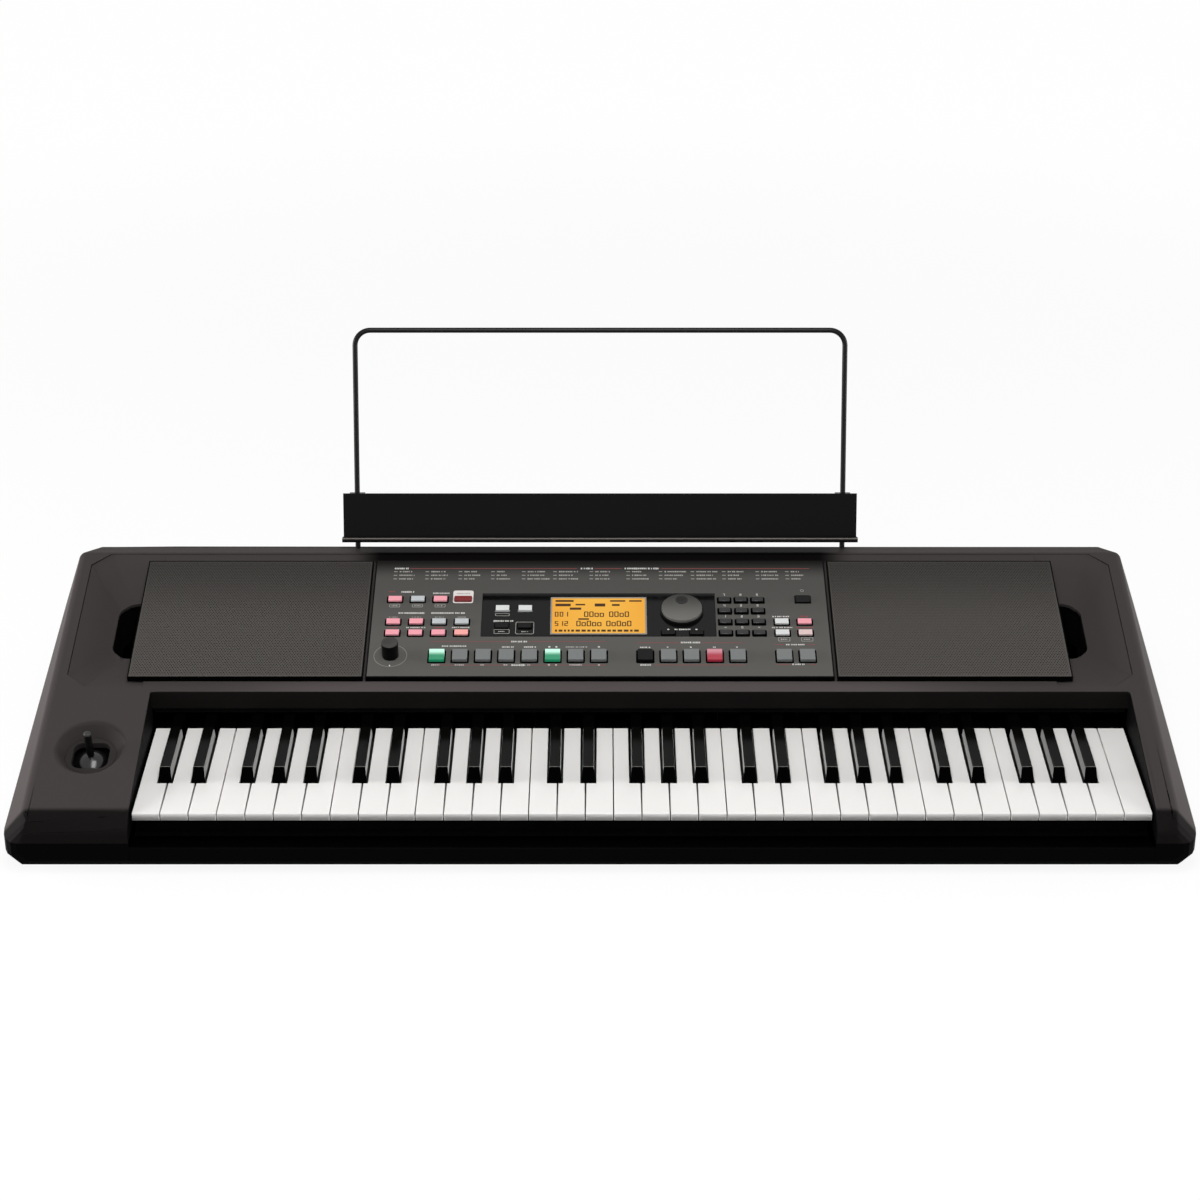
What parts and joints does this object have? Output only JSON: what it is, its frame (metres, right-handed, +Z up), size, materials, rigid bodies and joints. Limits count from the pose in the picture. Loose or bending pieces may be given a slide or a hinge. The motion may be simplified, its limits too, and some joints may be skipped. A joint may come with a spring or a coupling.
{
  "type": "arranger keyboard",
  "caption": "Electronic arranger keyboard: piano-style keys below a sloping control panel with display, buttons, dial and knob, speaker grilles, joystick and lift-off wire music rest.",
  "frame": {"origin": "on the table, below the middle of the outline with the music rest fitted", "axes": "+X to the player's right along the keys, +Y away from the player, +Z up"},
  "size_m": [0.992, 0.4223, 0.3229],
  "materials": {
    "case_top": "fine-grained warm dark grey moulding",
    "case_bottom": "near-black moulding",
    "panel_grey": "satin mid grey moulding with printed lines",
    "grille_grey": "fine-perforated dark grey grille",
    "cover_black": "glossy smoked cover",
    "display_amber": "back-lit amber display",
    "key_white": "polished off-white",
    "key_black": "polished black",
    "button_pink": "lit pink and pale grey caps",
    "button_red": "dark red cap in a white surround",
    "button_grey": "grey caps, some back-lit green or red",
    "button_black": "black caps",
    "dial_grey": "satin grey dial on a black skirt",
    "black_plastic": "plain black moulding",
    "steel": "zinc-plated steel",
    "wire_black": "black-coated steel wire",
    "board_green": "glass-fibre circuit board",
    "contact_rubber": "grey silicone",
    "foot_rubber": "black rubber",
    "felt_red": "felt strip",
    "cone_paper": "black paper cone"
  },
  "bodies": {
    "case": {"upper_case": "case_top", "lower_case": "case_bottom", "bottom_plate": "case_bottom", "front_rail": "black_plastic", "control_panel": "panel_grey", "display_cover": "cover_black", "display_module": "display_amber", "left_speaker_grille": "grille_grey", "right_speaker_grille": "grille_grey", "speaker_drivers": "steel", "speaker_cones": "cone_paper", "bass_ducts": "black_plastic", "keybed_frame": "black_plastic", "key_pivot_rod": "steel", "key_contact_board": "board_green", "key_contact_rubbers": "contact_rubber", "key_spring_comb": "steel", "key_felts": "felt_red", "main_board": "board_green", "panel_board": "board_green", "panel_switches": "black_plastic", "volume_pot": "steel", "dial_encoder": "steel", "joystick_housing": "black_plastic", "audio_jacks": "black_plastic", "usb_socket": "steel", "dc_inlet": "black_plastic", "rubber_feet": "foot_rubber", "case_screws": "steel"},
    "octave_1_keys_c_e_g_b": {"octave_1_keys_c_e_g_b": "key_white"},
    "octave_1_keys_d_f_a": {"octave_1_keys_d_f_a": "key_white"},
    "octave_1_black_keys": {"octave_1_black_keys": "key_black"},
    "octave_2_keys_c_e_g_b": {"octave_2_keys_c_e_g_b": "key_white"},
    "octave_2_keys_d_f_a": {"octave_2_keys_d_f_a": "key_white"},
    "octave_2_black_keys": {"octave_2_black_keys": "key_black"},
    "octave_3_keys_c_e_g_b": {"octave_3_keys_c_e_g_b": "key_white"},
    "octave_3_keys_d_f_a": {"octave_3_keys_d_f_a": "key_white"},
    "octave_3_black_keys": {"octave_3_black_keys": "key_black"},
    "octave_4_keys_c_e_g_b": {"octave_4_keys_c_e_g_b": "key_white"},
    "octave_4_keys_d_f_a": {"octave_4_keys_d_f_a": "key_white"},
    "octave_4_black_keys": {"octave_4_black_keys": "key_black"},
    "octave_5_keys_c_e_g_b": {"octave_5_keys_c_e_g_b": "key_white"},
    "octave_5_keys_d_f_a": {"octave_5_keys_d_f_a": "key_white"},
    "octave_5_black_keys": {"octave_5_black_keys": "key_black"},
    "top_c_key": {"top_c_key": "key_white"},
    "mode_buttons": {"mode_buttons": "button_pink"},
    "record_button": {"record_button": "button_red"},
    "part_buttons": {"part_buttons": "button_pink"},
    "style_buttons": {"style_buttons": "button_grey"},
    "display_buttons": {"display_buttons": "button_black"},
    "keypad_buttons": {"keypad_buttons": "button_black"},
    "set_buttons": {"set_buttons": "button_grey"},
    "right_buttons": {"right_buttons": "button_grey"},
    "power_button": {"power_button": "button_black"},
    "volume_knob": {"volume_knob": "black_plastic"},
    "value_dial": {"value_dial": "dial_grey"},
    "joystick_cradle": {"joystick_cradle": "black_plastic"},
    "joystick_stick": {"joystick_stick": "black_plastic"},
    "music_rest": {"music_rest_wire": "wire_black", "music_rest_tray": "black_plastic"}
  },
  "joints": [
    {"name": "octave_1_keys_c_e_g_b_press", "type": "hinge", "parent": "case", "child": "octave_1_keys_c_e_g_b", "pos_m": [0, -0.01215, 0.0445], "axis": [1, 0, 0], "range_deg": [0, 3], "stiffness_Nm_per_rad": 2, "springref_deg": -14.32},
    {"name": "octave_1_keys_d_f_a_press", "type": "hinge", "parent": "case", "child": "octave_1_keys_d_f_a", "pos_m": [0, -0.01215, 0.0445], "axis": [1, 0, 0], "range_deg": [0, 3], "stiffness_Nm_per_rad": 1.5, "springref_deg": -14.32},
    {"name": "octave_1_black_keys_press", "type": "hinge", "parent": "case", "child": "octave_1_black_keys", "pos_m": [0, -0.01215, 0.0445], "axis": [1, 0, 0], "range_deg": [0, 3], "stiffness_Nm_per_rad": 2.5, "springref_deg": -14.32},
    {"name": "octave_2_keys_c_e_g_b_press", "type": "hinge", "parent": "case", "child": "octave_2_keys_c_e_g_b", "pos_m": [0, -0.01215, 0.0445], "axis": [1, 0, 0], "range_deg": [0, 3], "stiffness_Nm_per_rad": 2, "springref_deg": -14.32},
    {"name": "octave_2_keys_d_f_a_press", "type": "hinge", "parent": "case", "child": "octave_2_keys_d_f_a", "pos_m": [0, -0.01215, 0.0445], "axis": [1, 0, 0], "range_deg": [0, 3], "stiffness_Nm_per_rad": 1.5, "springref_deg": -14.32},
    {"name": "octave_2_black_keys_press", "type": "hinge", "parent": "case", "child": "octave_2_black_keys", "pos_m": [0, -0.01215, 0.0445], "axis": [1, 0, 0], "range_deg": [0, 3], "stiffness_Nm_per_rad": 2.5, "springref_deg": -14.32},
    {"name": "octave_3_keys_c_e_g_b_press", "type": "hinge", "parent": "case", "child": "octave_3_keys_c_e_g_b", "pos_m": [0, -0.01215, 0.0445], "axis": [1, 0, 0], "range_deg": [0, 3], "stiffness_Nm_per_rad": 2, "springref_deg": -14.32},
    {"name": "octave_3_keys_d_f_a_press", "type": "hinge", "parent": "case", "child": "octave_3_keys_d_f_a", "pos_m": [0, -0.01215, 0.0445], "axis": [1, 0, 0], "range_deg": [0, 3], "stiffness_Nm_per_rad": 1.5, "springref_deg": -14.32},
    {"name": "octave_3_black_keys_press", "type": "hinge", "parent": "case", "child": "octave_3_black_keys", "pos_m": [0, -0.01215, 0.0445], "axis": [1, 0, 0], "range_deg": [0, 3], "stiffness_Nm_per_rad": 2.5, "springref_deg": -14.32},
    {"name": "octave_4_keys_c_e_g_b_press", "type": "hinge", "parent": "case", "child": "octave_4_keys_c_e_g_b", "pos_m": [0, -0.01215, 0.0445], "axis": [1, 0, 0], "range_deg": [0, 3], "stiffness_Nm_per_rad": 2, "springref_deg": -14.32},
    {"name": "octave_4_keys_d_f_a_press", "type": "hinge", "parent": "case", "child": "octave_4_keys_d_f_a", "pos_m": [0, -0.01215, 0.0445], "axis": [1, 0, 0], "range_deg": [0, 3], "stiffness_Nm_per_rad": 1.5, "springref_deg": -14.32},
    {"name": "octave_4_black_keys_press", "type": "hinge", "parent": "case", "child": "octave_4_black_keys", "pos_m": [0, -0.01215, 0.0445], "axis": [1, 0, 0], "range_deg": [0, 3], "stiffness_Nm_per_rad": 2.5, "springref_deg": -14.32},
    {"name": "octave_5_keys_c_e_g_b_press", "type": "hinge", "parent": "case", "child": "octave_5_keys_c_e_g_b", "pos_m": [0, -0.01215, 0.0445], "axis": [1, 0, 0], "range_deg": [0, 3], "stiffness_Nm_per_rad": 2, "springref_deg": -14.32},
    {"name": "octave_5_keys_d_f_a_press", "type": "hinge", "parent": "case", "child": "octave_5_keys_d_f_a", "pos_m": [0, -0.01215, 0.0445], "axis": [1, 0, 0], "range_deg": [0, 3], "stiffness_Nm_per_rad": 1.5, "springref_deg": -14.32},
    {"name": "octave_5_black_keys_press", "type": "hinge", "parent": "case", "child": "octave_5_black_keys", "pos_m": [0, -0.01215, 0.0445], "axis": [1, 0, 0], "range_deg": [0, 3], "stiffness_Nm_per_rad": 2.5, "springref_deg": -14.32},
    {"name": "top_c_key_press", "type": "hinge", "parent": "case", "child": "top_c_key", "pos_m": [0, -0.01215, 0.0445], "axis": [1, 0, 0], "range_deg": [0, 3], "stiffness_Nm_per_rad": 0.5, "springref_deg": -14.32},
    {"name": "mode_buttons_press", "type": "slide", "parent": "case", "child": "mode_buttons", "axis": [0, 0.2317, -0.9728], "range_m": [0, 0.0012], "stiffness_N_per_m": 1200, "springref_m": -0.003},
    {"name": "record_button_press", "type": "slide", "parent": "case", "child": "record_button", "axis": [0, 0.2317, -0.9728], "range_m": [0, 0.0012], "stiffness_N_per_m": 400, "springref_m": -0.003},
    {"name": "part_buttons_press", "type": "slide", "parent": "case", "child": "part_buttons", "axis": [0, 0.2317, -0.9728], "range_m": [0, 0.0012], "stiffness_N_per_m": 3200, "springref_m": -0.003},
    {"name": "style_buttons_press", "type": "slide", "parent": "case", "child": "style_buttons", "axis": [0, 0.2317, -0.9728], "range_m": [0, 0.0012], "stiffness_N_per_m": 3200, "springref_m": -0.003},
    {"name": "display_buttons_press", "type": "slide", "parent": "case", "child": "display_buttons", "axis": [0, 0.2317, -0.9728], "range_m": [0, 0.0012], "stiffness_N_per_m": 2400, "springref_m": -0.003},
    {"name": "keypad_buttons_press", "type": "slide", "parent": "case", "child": "keypad_buttons", "axis": [0, 0.2317, -0.9728], "range_m": [0, 0.0012], "stiffness_N_per_m": 4800, "springref_m": -0.003},
    {"name": "set_buttons_press", "type": "slide", "parent": "case", "child": "set_buttons", "axis": [0, 0.2317, -0.9728], "range_m": [0, 0.0012], "stiffness_N_per_m": 2000, "springref_m": -0.003},
    {"name": "right_buttons_press", "type": "slide", "parent": "case", "child": "right_buttons", "axis": [0, 0.2317, -0.9728], "range_m": [0, 0.0012], "stiffness_N_per_m": 2400, "springref_m": -0.003},
    {"name": "power_button_press", "type": "slide", "parent": "case", "child": "power_button", "axis": [0, 0.2317, -0.9728], "range_m": [0, 0.0012], "stiffness_N_per_m": 400, "springref_m": -0.003},
    {"name": "volume_turn", "type": "hinge", "parent": "case", "child": "volume_knob", "pos_m": [-0.1842, -0.01362, 0.09842], "axis": [0, -0.2317, 0.9728], "range_deg": [-150, 150]},
    {"name": "dial_turn", "type": "hinge", "parent": "case", "child": "value_dial", "pos_m": [0.07316, 0.04475, 0.11233], "axis": [0, -0.2317, 0.9728], "continuous": true},
    {"name": "joystick_sideways", "type": "hinge", "parent": "case", "child": "joystick_cradle", "pos_m": [-0.4326, -0.1198, 0.04846], "axis": [0, 0.9728, 0.2317], "range_deg": [-20, 20], "stiffness_Nm_per_rad": 0.25},
    {"name": "joystick_fore_aft", "type": "hinge", "parent": "joystick_cradle", "child": "joystick_stick", "pos_m": [-0.4326, -0.1198, 0.04846], "axis": [1, 0, 0], "range_deg": [-20, 20], "stiffness_Nm_per_rad": 0.25},
    {"name": "music_rest_lift", "type": "slide", "parent": "case", "child": "music_rest", "axis": [0, 0.2924, 0.9563], "range_m": [0, 0.05]}
  ]
}
